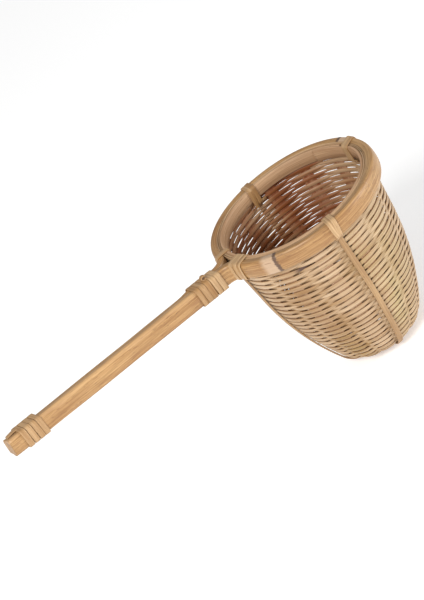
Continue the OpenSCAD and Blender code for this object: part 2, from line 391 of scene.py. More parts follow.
INNER_SHADE_TINT = (0.70, 0.38, 0.24)             # painted shade on the inner faces, for the basket's shaded inside
weaver_bamboo = bamboo("weaver_bamboo", (0.57, 0.405, 0.25), (0.355, 0.195, 0.075), roughness=0.5,
                       inside=INNER_SHADE_TINT)
stake_bamboo = bamboo("stake_bamboo", (0.48, 0.30, 0.18), (0.36, 0.19, 0.09), roughness=0.62,
                      inside=INNER_SHADE_TINT)
rib_bamboo = bamboo("rib_bamboo", (0.46, 0.29, 0.14), (0.34, 0.19, 0.08), roughness=0.45)
binding_strip = bamboo("binding_strip", (0.56, 0.37, 0.195), (0.36, 0.185, 0.062), roughness=0.45)
strand_fibre = bamboo("strand_fibre", (0.62, 0.43, 0.25), (0.40, 0.22, 0.10), roughness=0.6)
print("materials:", [m.name for m in bpy.data.materials if m.name not in ("floor_paper",)])

# %% [markdown]
# ## Laying a splint
# Nearly every piece is a thin strip that follows a path: stakes, weavers, ribs, strands and
# wrappings. A Geometry Nodes tree does this once. A path is a line of points that each know which way
# the strip faces there, how broad it is, and its masks. The tree sweeps a round profile along the
# path, squares it up to the strip's section, and writes `grain`. An array of boxes could not bend,
# and a bevelled curve could not keep its flat side on the basket.

# %% The splint tree
def splint_tree():
    tree = bpy.data.node_groups.new("lay_splint", "GeometryNodeTree")
    for label, kind, value in (("Path", "NodeSocketGeometry", None), ("Width", FLOAT, 3 * MM),
                               ("Thickness", FLOAT, 0.6 * MM), ("Corner", FLOAT, 0.5),
                               ("Section Points", "NodeSocketInt", 12), ("Grain Start", FLOAT, 0.0),
                               ("Finish", "NodeSocketMaterial", None)):
        socket = tree.interface.new_socket(label, in_out="INPUT", socket_type=kind)
        if value is not None:
            socket.default_value = value
    tree.interface.new_socket("Strip", in_out="OUTPUT", socket_type="NodeSocketGeometry")
    given, result = add(tree, "NodeGroupInput").outputs, add(tree, "NodeGroupOutput")

    def stored(geometry, name, value, kind="FLOAT_VECTOR"):
        node = add(tree, "GeometryNodeStoreNamedAttribute", data_type=kind, domain="POINT")
        plug(tree, geometry, node.inputs["Geometry"])
        node.inputs["Name"].default_value = name
        plug(tree, value, node.inputs["Value"])
        return node.outputs["Geometry"]

    def read(name, kind="FLOAT_VECTOR"):
        node = add(tree, "GeometryNodeInputNamedAttribute", data_type=kind)
        node.inputs["Name"].default_value = name
        return node.outputs["Attribute"]

    def vector_sum(operation, a, b):
        node = add(tree, "ShaderNodeVectorMath", operation=operation)
        plug(tree, a, node.inputs[0])
        plug(tree, b, node.inputs["Scale" if operation == "SCALE" else 1])
        return node.outputs[0]

    curve = add(tree, "GeometryNodeMeshToCurve")
    plug(tree, given["Path"], curve.inputs[0])
    edgeways = add(tree, "ShaderNodeVectorMath", operation="NORMALIZE")
    plug(tree, vector_sum("CROSS_PRODUCT", add(tree, "GeometryNodeInputTangent").outputs[0], read("facing")),
         edgeways.inputs[0])
    path = stored(curve.outputs[0], "spine", add(tree, "GeometryNodeInputPosition").outputs[0])
    path = stored(path, "edgeways", edgeways.outputs[0])
    path = stored(path, "along", add(tree, "GeometryNodeSplineParameter").outputs["Length"], "FLOAT")
    circle = add(tree, "GeometryNodeCurvePrimitiveCircle", mode="RADIUS")
    plug(tree, given["Section Points"], circle.inputs["Resolution"])
    circle.inputs["Radius"].default_value = 1
    profile = stored(circle.outputs[0], "section", add(tree, "GeometryNodeInputPosition").outputs[0])
    sweep = add(tree, "GeometryNodeCurveToMesh")
    plug(tree, path, sweep.inputs["Curve"])
    plug(tree, profile, sweep.inputs["Profile Curve"])
    sweep.inputs["Fill Caps"].default_value = True

    parts = add(tree, "ShaderNodeSeparateXYZ")
    plug(tree, read("section"), parts.inputs[0])

    def squared(value, half):
        sign = sum_up(tree, "SIGN", value)
        size = sum_up(tree, "POWER", sum_up(tree, "ABSOLUTE", value), given["Corner"])
        return sum_up(tree, "MULTIPLY", sum_up(tree, "MULTIPLY", sign, size), half)

    out = squared(parts.outputs[0], sum_up(tree, "MULTIPLY", given["Thickness"], 0.5))
    across = squared(parts.outputs[1], sum_up(tree, "MULTIPLY", sum_up(tree, "MULTIPLY", given["Width"], 0.5),
                                              read("breadth", "FLOAT")))
    place = vector_sum("ADD", read("spine"), vector_sum("SCALE", read("facing"), out))
    place = vector_sum("ADD", place, vector_sum("SCALE", read("edgeways"), across))
    grain = add(tree, "ShaderNodeCombineXYZ")
    run = sum_up(tree, "ADD", read("along", "FLOAT"), given["Grain Start"])
    for value, socket in ((run, 0), (across, 1), (out, 2)):
        plug(tree, value, grain.inputs[socket])
    strip = stored(sweep.outputs[0], "grain", grain.outputs[0])
    moved = add(tree, "GeometryNodeSetPosition")
    plug(tree, strip, moved.inputs["Geometry"])
    plug(tree, place, moved.inputs["Position"])
    smooth = add(tree, "GeometryNodeSetShadeSmooth")
    plug(tree, moved.outputs[0], smooth.inputs["Geometry"])
    last = smooth.outputs[0]
    for name in ("spine", "edgeways", "section", "facing", "breadth", "along"):
        drop = add(tree, "GeometryNodeRemoveAttribute")
        plug(tree, last, drop.inputs["Geometry"])
        drop.inputs["Name"].default_value = name
        last = drop.outputs[0]
    real = add(tree, "GeometryNodeRealizeInstances")
    plug(tree, last, real.inputs[0])
    finish = add(tree, "GeometryNodeSetMaterial")
    plug(tree, real.outputs[0], finish.inputs["Geometry"])
    plug(tree, given["Finish"], finish.inputs["Material"])
    plug(tree, finish.outputs[0], result.inputs[0])
    return tree


lay_splint_tree = splint_tree()
print("tree", lay_splint_tree.name, "with", len(lay_splint_tree.nodes), "nodes")

# %% [markdown]
# A path point is a small tuple: its place, the way the strip faces, its breadth (a factor on Width),
# and the gold, green and stain masks. `lay` turns lists of such points into one plain mesh, claims the CAD
# nodes that it stands for, and prints what it made. The volume must come out positive, which shows
# that the faces point outwards.

# %% Laying paths
def point(place, facing, breadth=1.0, gold=0.5, green=0.0, stain=0.0):
    return (Vector(place), Vector(facing).normalized(), breadth, gold, green, stain)


def volume_of(mesh):
    total = 0.0
    for face in mesh.polygons:
        corners = [mesh.vertices[v].co for v in face.vertices]
        for k in range(1, len(corners) - 1):
            total += corners[0].dot(corners[k].cross(corners[k + 1])) / 6
    return total


def claim(piece, nodes):
    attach(piece, "root")
    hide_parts(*nodes)
    triangles = sum(len(face.vertices) - 2 for face in piece.data.polygons)
    print("%-22s %6d triangles, %7.1f mm3" % (piece.name, triangles, volume_of(piece.data) / MM ** 3))


def lay(name, nodes, paths, finish, width, thickness, corner=0.5, section_points=12):
    places, edges = [], []
    columns = {"facing": [], "breadth": [], "gold": [], "green": [], "stain": []}
    for path in paths:
        first = len(places)
        for place, facing, *masks in path:
            places.append(place)
            columns["facing"].extend(facing)
            for key, value in zip(("breadth", "gold", "green", "stain"), masks):
                columns[key].append(value)
        edges += [(k, k + 1) for k in range(first, len(places) - 1)]
    line = bpy.data.meshes.new(name + "_path")
    line.from_pydata(places, edges, [])
    for key, values in columns.items():
        layer = line.attributes.new(key, "FLOAT_VECTOR" if key == "facing" else "FLOAT", "POINT")
        layer.data.foreach_set("vector" if key == "facing" else "value", values)
    path_object = bpy.data.objects.new(name + "_path", line)
    bpy.context.scene.collection.objects.link(path_object)
    modifier = path_object.modifiers.new("lay_splint", "NODES")
    modifier.node_group = lay_splint_tree
    sockets = {item.name: item.identifier for item in lay_splint_tree.interface.items_tree}
    for label, value in (("Width", width), ("Thickness", thickness), ("Corner", corner),
                         ("Section Points", section_points), ("Grain Start", 0.37 * len(bpy.data.meshes)),
                         ("Finish", finish)):
        modifier[sockets[label]] = value
    evaluated = path_object.evaluated_get(bpy.context.evaluated_depsgraph_get())
    mesh = bpy.data.meshes.new_from_object(evaluated, preserve_all_data_layers=True,
                                           depsgraph=bpy.context.evaluated_depsgraph_get())
    bpy.data.objects.remove(path_object)
    mesh.name = name
    piece = bpy.data.objects.new(name, mesh)
    bpy.context.scene.collection.objects.link(piece)
    claim(piece, nodes)
    return piece


# %% [markdown]
# ## The hoops
# The outer hoop is one cane strip, split in half and bent: its rounded skin side faces out, its flat
# pith side faces in, and its ends run back together as the handle. It is swept in mesh code, because
# its section is not a plain strip: a crowned skin, flat pith and a small bevel on every corner.
# `strip_at` walks the strip from the tip of the ring, both ways, out to the ends of the tails.

# %% The strip's path
bend_len = bend_r * bend_turn
ring_len = hoop_mid_r * ring_half
strip_half = ring_len + bend_len + (knee_x - bend_reach) + rise_len
hoop_mid_z = hoop_z + hoop_w / 2


def strip_at(run):
    """Middle, skin direction and upward axis of the strip, at a signed length from the ring's tip."""
    side, length = (1 if run >= 0 else -1), abs(run)
    if length <= ring_len:
        a = run / hoop_mid_r
        out = Vector((math.cos(a), math.sin(a), 0))
        return hoop_mid_r * out + Vector((0, 0, hoop_mid_z)), out, Vector((0, 0, 1))
    if length <= ring_len + bend_len:
        a = bend_turn - (length - ring_len) / bend_r
        return (Vector((-bend_reach + bend_r * math.sin(a), side * (bend_r + tail_y - bend_r * math.cos(a)),
                        hoop_mid_z)),
                Vector((-math.sin(a), side * math.cos(a), 0)), Vector((0, 0, 1)))
    past = length - ring_len - bend_len - (knee_x - bend_reach)
    soft = 3 * MM
    risen = (math.hypot(past, soft) + past) / 2
    slope = TILT * (past / math.hypot(past, soft) + 1) / 2
    flat_run = past - risen * (1 - math.cos(TILT))
    return (Vector((-knee_x - flat_run, side * tail_y, hoop_mid_z + risen * math.sin(TILT))),
            Vector((0, side, 0)), Vector((math.sin(slope), 0, math.cos(slope))))


print("strip %.0f mm long from end to end" % (2 * strip_half / MM))

# %% Sweeping a hoop
def sweep_mesh(name, stations, section):
    """section(k) gives [(across, up)...] in metres. A station is (middle, out, up, along, masks)."""
    points, grain, gold, green, node_gap, lit_top_band = [], [], [], [], [], []
    for k, (middle, out, up_axis, along, masks) in enumerate(stations):
        for depth, height in section(k):
            points.append(middle + depth * out + height * up_axis)
            grain.extend((along, height, depth))
            gold.append(masks[0])
            green.append(masks[1])
            node_gap.append(masks[2])
            lit_top_band.append(masks[3])
    n = len(section(0))
    last = len(stations) - 1
    faces = [(k * n + j, k * n + (j + 1) % n, (k + 1) * n + (j + 1) % n, (k + 1) * n + j)
             for k in range(last) for j in range(n)]
    faces += [tuple(range(n - 1, -1, -1)), tuple(last * n + j for j in range(n))]
    mesh = bpy.data.meshes.new(name)
    mesh.from_pydata(points, [], faces)
    for key, values in (("gold", gold), ("green", green), ("node_gap", node_gap), ("lit_top_band", lit_top_band)):
        mesh.attributes.new(key, "FLOAT", "POINT").data.foreach_set("value", values)
    mesh.attributes.new("grain", "FLOAT_VECTOR", "POINT").data.foreach_set("vector", grain)
    if volume_of(mesh) < 0:
        mesh.flip_normals()
    mesh.polygons.foreach_set("use_smooth", [True] * (len(faces) - 2) + [False, False])
    piece = bpy.data.objects.new(name, mesh)
    bpy.context.scene.collection.objects.link(piece)
    return piece


def cane_section(thickness, width, crown, bevel=0.4 * MM):
    """A split cane: pith side flat with bevelled corners, skin side crowned."""
    half_t, half_w = thickness / 2, width / 2
    skin_side = []
    for k in range(17):
        a = math.radians(-90 + 180 * k / 16)
        skin_side.append((half_t - crown + crown * math.cos(a) ** 0.9,
                          half_w * math.copysign(abs(math.sin(a)) ** 0.85, math.sin(a))))
    return ([(-half_t, -half_w + bevel), (-half_t + bevel, -half_w)] + skin_side
            + [(-half_t + bevel, half_w), (-half_t, half_w - bevel)])


# %% [markdown]
# The skin side of the hoop needs three things that thin strips don't: the swollen ring of a bamboo
# node with its dark line, a bare pale band beside it, and long stains on the skin. The stations carry
# `node_gap`, the distance from the nearest node, and the material paints the ring from that.

# %% The hoop material
def hoop_material(name, pale, gold, line=1.0):
    material = bamboo(name, pale, gold, fibre_depth=0.42, flecks=0.75, roughness=0.42, bump=0.35)
    tree = material.node_tree
    shader = tree.nodes["Principled BSDF"]
    colour = shader.inputs["Base Color"].links[0].from_socket
    gap_m = attribute(tree, "node_gap")
    parts = add(tree, "ShaderNodeSeparateXYZ")
    plug(tree, attribute(tree, "grain", "Vector"), parts.inputs[0])
    ragged = stretched_noise(tree, attribute(tree, "grain", "Vector"), (700, 900, 900), detail=2)
    uneven = sum_up(tree, "ADD", gap_m, sum_up(tree, "MULTIPLY", sum_up(tree, "SUBTRACT", ragged, 0.5), 2.2 * MM))
    ring = sum_up(tree, "SUBTRACT", 1, ramp(tree, sum_up(tree, "ABSOLUTE", uneven), 0.6 * MM, 1.5 * MM))
    band = sum_up(tree, "MULTIPLY", ramp(tree, uneven, -10 * MM, -6 * MM), ramp(tree, uneven, 0.2 * MM, -0.6 * MM))
    colour = mixed(tree, sum_up(tree, "MULTIPLY", band, 0.75 * line), colour, (0.56, 0.40, 0.27))
    colour = mixed(tree, sum_up(tree, "MULTIPLY", ring, 0.92 * line), colour, (0.10, 0.055, 0.035))
    stain = stretched_noise(tree, attribute(tree, "grain", "Vector"), (55, 420, 60), detail=3)
    colour = mixed(tree, ramp(tree, stain, 0.55, 0.7, 0, 0.5), colour, (0.27, 0.125, 0.05))
    # A thin, broken dark line runs along the skin at a wandering height a little above the strip's middle.
    along_only = stretched_noise(tree, attribute(tree, "grain", "Vector"), (60, 1, 1), detail=2)
    edge = sum_up(tree, "MULTIPLY", along_only, 4.5 * MM)
    above = sum_up(tree, "SUBTRACT", parts.outputs[1], edge)
    line_distance = sum_up(tree, "ABSOLUTE", above)
    broken = ramp(tree, stretched_noise(tree, attribute(tree, "grain", "Vector"), (190, 1, 1), detail=2), 0.5, 0.6)
    dark_line = sum_up(tree, "MULTIPLY", sum_up(tree, "SUBTRACT", 1, ramp(tree, line_distance, 0.06 * MM, 0.3 * MM)), broken)
    colour = mixed(tree, sum_up(tree, "MULTIPLY", dark_line, 0.75), colour, (0.22, 0.10, 0.04))
    # The pith side is darkened. This is partly the pith's own colour, and where the handle's two tails lie
    # together it paints the shade in the seam between them.
    pith = ramp(tree, parts.outputs[2], -hoop_t / 2 + 0.4 * MM, -hoop_t / 2 + 0.1 * MM)
    colour = mixed(tree, sum_up(tree, "MULTIPLY", pith, 0.5), colour, (0.33, 0.20, 0.10))
    # The upper band of the near tail is lightened: a painted highlight where its crowned top catches the light.
    lit_top_band = sum_up(tree, "MULTIPLY", ramp(tree, above, 0.6 * MM, 1.1 * MM), attribute(tree, "lit_top_band"))
    colour = mixed(tree, sum_up(tree, "MULTIPLY", lit_top_band, 0.3), colour, (0.68, 0.43, 0.22))
    plug(tree, colour, shader.inputs["Base Color"])
    return material


hoop_bamboo = hoop_material("hoop_bamboo", (0.53, 0.32, 0.135), (0.38, 0.195, 0.07))
inner_hoop_bamboo = bamboo("inner_hoop_bamboo", (0.58, 0.37, 0.21), (0.44, 0.25, 0.13), fibre_depth=0.3,
                           flecks=0.4, roughness=0.6)

# %% The outer hoop
NODE_SWELL = 0.28 * MM
FAR_TAIL_NARROWER, FAR_TAIL_LOWER = 0.16, 0.3 * MM
NODE_AT = [math.radians(-137) * hoop_mid_r, math.radians(17) * hoop_mid_r]


def node_gap_at(run):
    return min((run - at for at in NODE_AT), key=abs)


runs, run = [], -strip_half
while run < strip_half:
    runs.append(run)
    run += 0.5 * MM if abs(node_gap_at(run)) < 3 * MM else 2 * MM
runs.append(strip_half)
hoop_section = cane_section(hoop_t, hoop_w, 1.5 * MM)


def far_share(run):
    """1 along the far tail, past the neck's wraps. That tail is a little narrower than the near one."""
    return smooth((run - ring_len - bend_len - 14 * MM) / (12 * MM))


def hoop_stations():
    for run in runs:
        middle, out, up_axis = strip_at(run)
        tone = 0.45 + wander(run * 25, 3, 0.35)
        middle += up_axis * (wander(run * 22, 5, 0.12 * MM) - FAR_TAIL_LOWER * far_share(run))
        # The last mask marks the near tail, whose upper band gets a painted highlight.
        yield middle, out, up_axis, run, (tone, 0.0, node_gap_at(run), 1.0 if run < -ring_len - bend_len else 0.0)


def hoop_section_at(k):
    run = runs[k]
    swell = NODE_SWELL * math.exp(-(node_gap_at(run) / (1.1 * MM)) ** 2)
    tail_end = 1 - 0.03 * max(0.0, (abs(run) - strip_half + 6 * MM) / (6 * MM))
    lean = 1 + wander(run * 30, 9, 0.012)
    lean -= FAR_TAIL_NARROWER * far_share(run)
    return [((d + (swell if d > 0 else 0)) * tail_end, h * lean * tail_end) for d, h in hoop_section]


outer_hoop = sweep_mesh("outer_hoop_strip", list(hoop_stations()), hoop_section_at)
outer_hoop.data.materials.append(hoop_bamboo)
claim(outer_hoop, ["outer_hoop"])

# %% [markdown]
# The inner hoop is a thin flat strip sprung inside the weave. It is a little longer than one turn, so
# its ends lie over each other near the tip. A spiral whose radius eases in by one thickness over the
# lap makes that without any join to hide.

# %% The inner hoop
TIP_AT, FRONT_AT, BACK_AT = math.radians(5), math.radians(-96), math.radians(91)
lap_start, lap_turn = TIP_AT + math.radians(6), math.radians(26)
inner_mid_r = inner_hoop_r - inner_hoop_t / 2
inner_mid_z = rim_top - inner_hoop_w / 2


def inner_hoop_stations():
    steps = 190
    for k in range(steps + 1):
        turn = lap_start + (2 * math.pi + lap_turn) * k / steps
        inwards = 1.35 * MM * smooth((turn - lap_start - 2 * math.pi + math.radians(14)) / math.radians(14))
        out = Vector((math.cos(turn), math.sin(turn), 0))
        middle = (inner_mid_r - inwards) * out + Vector((0, 0, inner_mid_z))
        yield middle, out, Vector((0, 0, 1)), turn * inner_mid_r, (0.4 + wander(turn * 2, 11, 0.3), 0, 1, 0)


def inner_section_at(k):
    thin = 0.72 if k > 172 or k < 14 else 1.0
    return cane_section(inner_hoop_t * thin, inner_hoop_w, 0.35 * MM, 0.2 * MM)


inner_hoop = sweep_mesh("inner_hoop_strip", list(inner_hoop_stations()), inner_section_at)
inner_hoop.data.materials.append(inner_hoop_bamboo)
claim(inner_hoop, ["inner_hoop"])

# %% [markdown]
# Between the two hoops, on top of the weave's edge, lie a few very thin strands. They hide the cut
# ends and wander from one hoop to the other, so each one is a thin splint whose radius and height
# waver round the rim.

# %% The rim strands
for k in range(3):
    node = "rim_strand_%d" % (k + 1)
    base_r = inner_hoop_r + 1.8 * MM * (k + 0.5) / 3
    strands = []
    for twin in range(2):
        path = []
        for step in range(241):
            turn = 2 * math.pi * step / 240
            loop = 6 * math.cos(turn) + 6 * math.sin(2 * turn)
            r = base_r + wander(loop * 0.22, 20 + k + 5 * twin, 0.3 * MM)
            z = rim_top - (0.55 + 0.75 * twin) * MM + wander(loop * 0.2, 30 + k + 5 * twin, 0.35 * MM)
            path.append(point((r * math.cos(turn), r * math.sin(turn), z), (math.cos(turn), math.sin(turn), 0.3),
                              gold=0.4 + wander(turn, 40 + k + twin, 0.4)))
        strands.append(path)
    lay("rim_strands_%d" % (k + 1), [node], strands, strand_fibre, 0.75 * MM, 0.5 * MM, 0.8, 8)

# %% [markdown]
# ## The stakes and the crossed base
# Thirteen broad splints stand round the wall. Six long ones cross under the base in a small mat, over
# and under each other, and turn up at both ends, which gives twelve. The thirteenth is pushed in
# beside them, because a single spiral weaver only alternates round an odd number. They narrow
# towards the base, where they stand closest.

# %% The stakes
STAKES = 13
STAKE_TURN = math.radians(-3.2)
stake_mid = -(1.5 * splint_t + gap)        # middle of the stakes, inwards from the weave's outside


full_stake_r = 36 * MM                     # where a stake has its full width


def stake_breadth(r):
    """Width factor of a stake at a radius: 4 mm at the mat, 7 mm on the wall."""
    u = min(1.0, max(0.0, (r - mat_r) / (full_stake_r - mat_r)))
    return (4 + 3 * u) / 7


for k in range(STAKES):
    turn = STAKE_TURN + 2 * math.pi * k / STAKES
    path = []
    steps = 60
    for step in range(steps + 1):
        s = weave_start - 1.5 * MM + (edge_start + edge_len - weave_start + 1.5 * MM) * step / steps
        place, facing = on_skin(s, stake_mid, turn + wander(s * 15, 50 + k, 0.006))
        path.append(point(place, facing, stake_breadth(math.hypot(place.x, place.y)),
                          0.4 + wander(s * 20, 70 + k, 0.4)))
    lay("stake_splint_%02d" % (k + 1), ["stake_%d" % (k + 1)], [path], stake_bamboo,
        7 * MM, splint_t, 0.35, 14)

# %% The crossed base
MAT_PITCH = 9 * MM


def stake_direction(k):
    turn = STAKE_TURN + 2 * math.pi * k / STAKES
    return Vector((math.cos(turn), math.sin(turn), 0))


def mat_splint(name, node, ends, offset, over_first):
    """From one stake, straight across the mat at its offset, to the stake opposite."""
    start, stop = (stake_direction(k) for k in ends)
    along = (stop - start).normalized()
    axis = Vector((round(along.x), round(along.y), 0))
    across = Vector((-axis.y, axis.x, 0))
    offset_at = offset if across.dot(start + stop) * offset >= 0 else -offset
    path = []
    for step in range(49):
        u = -1 + 2 * step / 48
        bend = smooth((abs(u) - 0.45) / 0.55)
        straight = axis * u * (mat_r + 1.2 * MM) + across * offset_at
        fan = (stop if u > 0 else start) * (mat_r + 1.2 * MM) * abs(u)
        place = straight.lerp(fan, bend)
        wave = math.cos(math.pi * (axis.dot(place) / MAT_PITCH)) * (1 if over_first else -1)
        z = base_z + splint_t + gap / 2 + 0.4 * MM * wave * (1 - bend) + 0.35 * MM * bend
        path.append(point((place.x, place.y, z), (0, 0, -1), 1 - 0.47 * bend,
                          0.4 + wander(u * 2, 90 + ends[0], 0.3)))
    lay(name, [node], [path], stake_bamboo, 7.6 * MM, splint_t, 0.35, 14)


for k, ends in enumerate(((8, 12), (7, 0), (6, 1))):
    mat_splint("base_cross_%d" % (k + 1), "base_splint_lower_%d" % (k + 1), ends, (k - 1) * MAT_PITCH, k % 2 == 0)
for k, ends in enumerate(((9, 4), (10, 3), (11, 2))):
    mat_splint("base_cross_%d" % (k + 4), "base_splint_upper_%d" % (k + 1), ends, (1 - k) * MAT_PITCH, k % 2 == 1)

# %% [markdown]
# ## The weaver
# One narrow splint goes outside a stake, then inside the next, in a rising spiral of some sixty
# turns. With an odd number of stakes each turn passes opposite to the one below, so the rows lock.
# The rule is a wave: the offset from the stakes follows a cosine of half the stake count, flattened
# where it lies on a stake. The maker splices eight lengths, and each new one starts behind a stake.
# The splints' own joints fall near the same side on every turn, so the colour runs in soft upright
# zones: gold, pale and faintly green.

# %% The weaver's path
LENGTHS = 8
# The weaver's breadth: between the stakes, what it gains where it lies flat on one, and how much
# narrower it is at the back than in the middle.
BETWEEN_STAKES, ON_A_STAKE, FRONT_TO_BACK = 0.82, 0.36, 0.11
OVER = 0.79 * MM                            # how far the weaver swings from the stakes' middle
START_STAKE = 7
start_turn = STAKE_TURN + 2 * math.pi * START_STAKE / STAKES
STEPS_PER_STAKE = 14
# Colour zones: direction in degrees, height as a share of the wall, their spreads, gold, green.
# The broad gold zone at 130 degrees darkens the inside of the back wall, and its gold also strengthens the painted
# inner-face shade there: partly the splints' own gold, partly painted shade.
ZONES = [(-140, 0.45, 17, 0.8, 0.55, 0.0), (-141, 0.15, 16, 0.25, 0.3, 0.15), (-98, 0.6, 8, 0.5, 0.25, 0.0),
         (-82, 0.35, 10, 0.22, 0.0, 0.35), (-88, 0.75, 9, 0.2, 0.2, 0.12), (-62, 0.55, 12, 0.5, 0.0, 0.18),
         (72, 0.6, 15, 0.9, 0.8, 0.0), (130, 0.6, 28, 0.9, 0.6, 0.0), (48, 0.6, 9, 0.8, 0.3, 0.0),
         (12, 0.5, 14, 0.8, 0.0, 0.12), (165, 0.3, 12, 0.5, 0.3, 0.0)]


def zone_masks(turn, share, seed):
    gold, green = 0.16, 0.02
    shifted = math.degrees(turn) + wander(share * 9, 200, 6) + wander(share * 60, 201, 4)
    for at, height, spread, tall, g, n in ZONES:
        off = (shifted - at + 180) % 360 - 180
        weight = math.exp(-(off / spread) ** 2 - ((share - height) / tall) ** 2)
        gold += g * weight
        green += n * weight
    row_tone = wander(seed, 210, 0.2) + wander(turn * 1.3 + seed * 3.1, 211, 0.16)
    return min(1.0, max(0.0, gold + row_tone)), min(0.8, max(0.0, green * (1 + row_tone)))


STREAK_AT, STREAK_WIDE, STREAK_ROW = -122, 13, rows - 9   # one scorched patch, on one turn


def weaver_point(row_turn):
    """A point of the spiral. row_turn counts turns from the first stake of the first row."""
    turn = start_turn + 2 * math.pi * row_turn
    phase = row_turn * STAKES
    s = weave_start + row_pitch * (row_turn + 0.5) + wander(row_turn * 9.7, 220, 0.14 * MM)
    swing = -math.cos(math.pi * phase)
    swing = swing * (1.5 - 0.5 * swing * swing)
    d = stake_mid + OVER * swing * (1 + wander(row_turn * 5.3, 221, 0.08))
    place, facing = on_skin(min(s, edge_start + edge_len), d, turn)
    share = s / (edge_start + edge_len)
    gold, green = zone_masks(turn, share, int(row_turn) * 0.73)
    breadth = (BETWEEN_STAKES - FRONT_TO_BACK * math.sin(turn) + ON_A_STAKE * swing * swing
               + wander(row_turn * 17, 222, 0.07))
    off = (math.degrees(turn) - STREAK_AT + 180) % 360 - 180
    streak = max(0.0, 1 - (off / STREAK_WIDE) ** 2) if int(row_turn) == STREAK_ROW else 0.0
    return point(place, facing, breadth, gold, green, min(1.0, 1.6 * streak))


rows_each = rows / LENGTHS
for k in range(LENGTHS):
    first = round(k * rows_each * STAKES) * STEPS_PER_STAKE
    last = round((k + 1) * rows_each * STAKES) * STEPS_PER_STAKE
    path = [weaver_point(step / STEPS_PER_STAKE / STAKES) for step in range(first, last + 1)]
    lay("weaver_length_%d" % (k + 1), ["weaver_%d" % (k + 1)], [path], weaver_bamboo,
        2.0 * MM, 0.72 * MM, 0.62, 10)

# %% [markdown]
# ## The ribs
# Two flat strips cross under the base and run up the wall to the hoops, outside the weave. They carry
# the load to the lashings. The one from front to back dips under the other where they cross. Each is
# laid as one splint from rim to rim.

# %% The two ribs
RIB_W = 3.2 * MM


def rib_path(from_turn, to_turn, dip, seed):
    top = edge_start - 1 * MM
    path = []
    span = top + flat_r
    steps = 150
    for step in range(-steps, steps + 1):
        run = abs(step) / steps * span - flat_r
        turn = from_turn if step < 0 else to_turn
        if run < 0:
            r = run + flat_r
            side = Vector((math.cos(turn), math.sin(turn), 0))
            z = base_z - gap - rib_t / 2 - dip * (1 - smooth((r - RIB_W) / RIB_W))
            place, facing = side * r + Vector((0, 0, z)), Vector((0, 0, -1))
        else:
            place, facing = on_skin(run, gap + rib_t / 2, turn)
        path.append(point(place, facing, 1 + wander(step * 0.03, seed, 0.04),
                          0.35 + wander(step * 0.02, seed + 1, 0.35)))
    return path


lay("rib_front_to_back", ["rib_front_back"], [rib_path(FRONT_AT, BACK_AT, rib_t, 300)], rib_bamboo,
    RIB_W, rib_t, 0.4, 14)
lay("rib_handle_to_tip", ["rib_handle_tip"], [rib_path(math.pi, TIP_AT, 0, 310)], rib_bamboo,
    RIB_W, rib_t, 0.4, 14)

# %% [markdown]
# ## The wrappings
# Thin peeled strips are wound round the hoops and the handle while wet, and dry tight. A wrapping is
# a helix round a box with rounded corners, pushed out a little where the strip bridges the crowned
# skin. `wound` walks round that box, and the pitch of the helix lays the turns side by side.

# %% Winding a strip
def round_box_point(q, half_x, half_y, corner):
    """Point and outward normal at share q of the way anticlockwise round a rounded box, from mid +x."""
    flat_x, flat_y = half_x - corner, half_y - corner
    arc = math.pi * corner / 2
    left = (q % 1) * (4 * flat_x + 4 * flat_y + 4 * arc)
    at = Vector((half_x, 0))
    heading = Vector((0, 1))
    for straight, turn_centre in ((flat_y, (1, 1)), (2 * flat_x, (-1, 1)), (2 * flat_y, (-1, -1)),
                                  (2 * flat_x, (1, -1)), (flat_y, None)):
        if left <= straight or turn_centre is None:
            return at + heading * left, Vector((heading.y, -heading.x))
        left -= straight
        at = at + heading * straight
        centre = Vector((turn_centre[0] * flat_x, turn_centre[1] * flat_y))
        if left <= arc:
            a = left / corner
            start = math.atan2(at.y - centre.y, at.x - centre.x)
            normal = Vector((math.cos(start + a), math.sin(start + a)))
            return centre + normal * corner, normal
        left -= arc
        start = math.atan2(at.y - centre.y, at.x - centre.x) + math.pi / 2
        at = centre + corner * Vector((math.cos(start), math.sin(start)))
        heading = Vector((-heading.y, heading.x))
    return at, Vector((1, 0))


def wound(middle, across, up_axis, onwards, half_x, half_y, corner, turns, pitch, start=0.0, bulge=0.05 * MM,
          tone=0.3, seed=400, steps=64, shift=None, crown=0.0):
    """A helix of strip round a box. onwards is the way that the turns advance."""
    path = []
    total = int(abs(turns) * steps)
    for k in range(total + 1):
        q = start + k / steps * (1 if turns > 0 else -1)
        flat, normal = round_box_point(q, half_x, half_y, corner)
        flat = flat + normal * bulge * max(0.0, 1 - (flat.y / half_y) ** 2 if abs(normal.x) > 0.5 else 0.0)
        fall = 1 - math.sqrt(max(0.0, 1 - (flat.y / half_y) ** 2))
        flat.x -= crown * fall * max(0.0, flat.x / half_x)
        step_on = pitch * (k / steps) + wander(k / steps * 2.3, seed, 0.12 * MM)
        if shift:
            step_on += shift(flat, k / steps)
        place = middle + across * flat.x + up_axis * flat.y + onwards * step_on
        path.append(point(place, across * normal.x + up_axis * normal.y,
                          1 + wander(k / steps * 1.7, seed + 1, 0.05),
                          tone + wander(k / steps * 1.1, seed + 2, 0.25)))
    return path


# %% The handle's bindings
STRIP_W, STRIP_T = 3.2 * MM, 0.6 * MM
rise = Vector((-math.cos(TILT), 0, math.sin(TILT)))
handle_up = Vector((math.sin(TILT), 0, math.cos(TILT)))
knee = Vector((-knee_x, 0, hoop_mid_z))
tail_half_x = hoop_t + 0.03 * MM + STRIP_T / 2
tail_half_y = hoop_w / 2 + STRIP_T / 2 + 0.15 * MM


def handle_binding(name, node, start, turns, pitch, tone, seed, extra=()):
    lay(name, [node],
        [wound(knee + rise * (start - pitch / 2), Vector((0, -1, 0)), handle_up, rise, tail_half_x,
               tail_half_y, 1.7 * MM, turns, pitch, start=0.5, tone=tone, seed=seed), *extra],
        binding_strip, STRIP_W, STRIP_T, 0.4, 12)


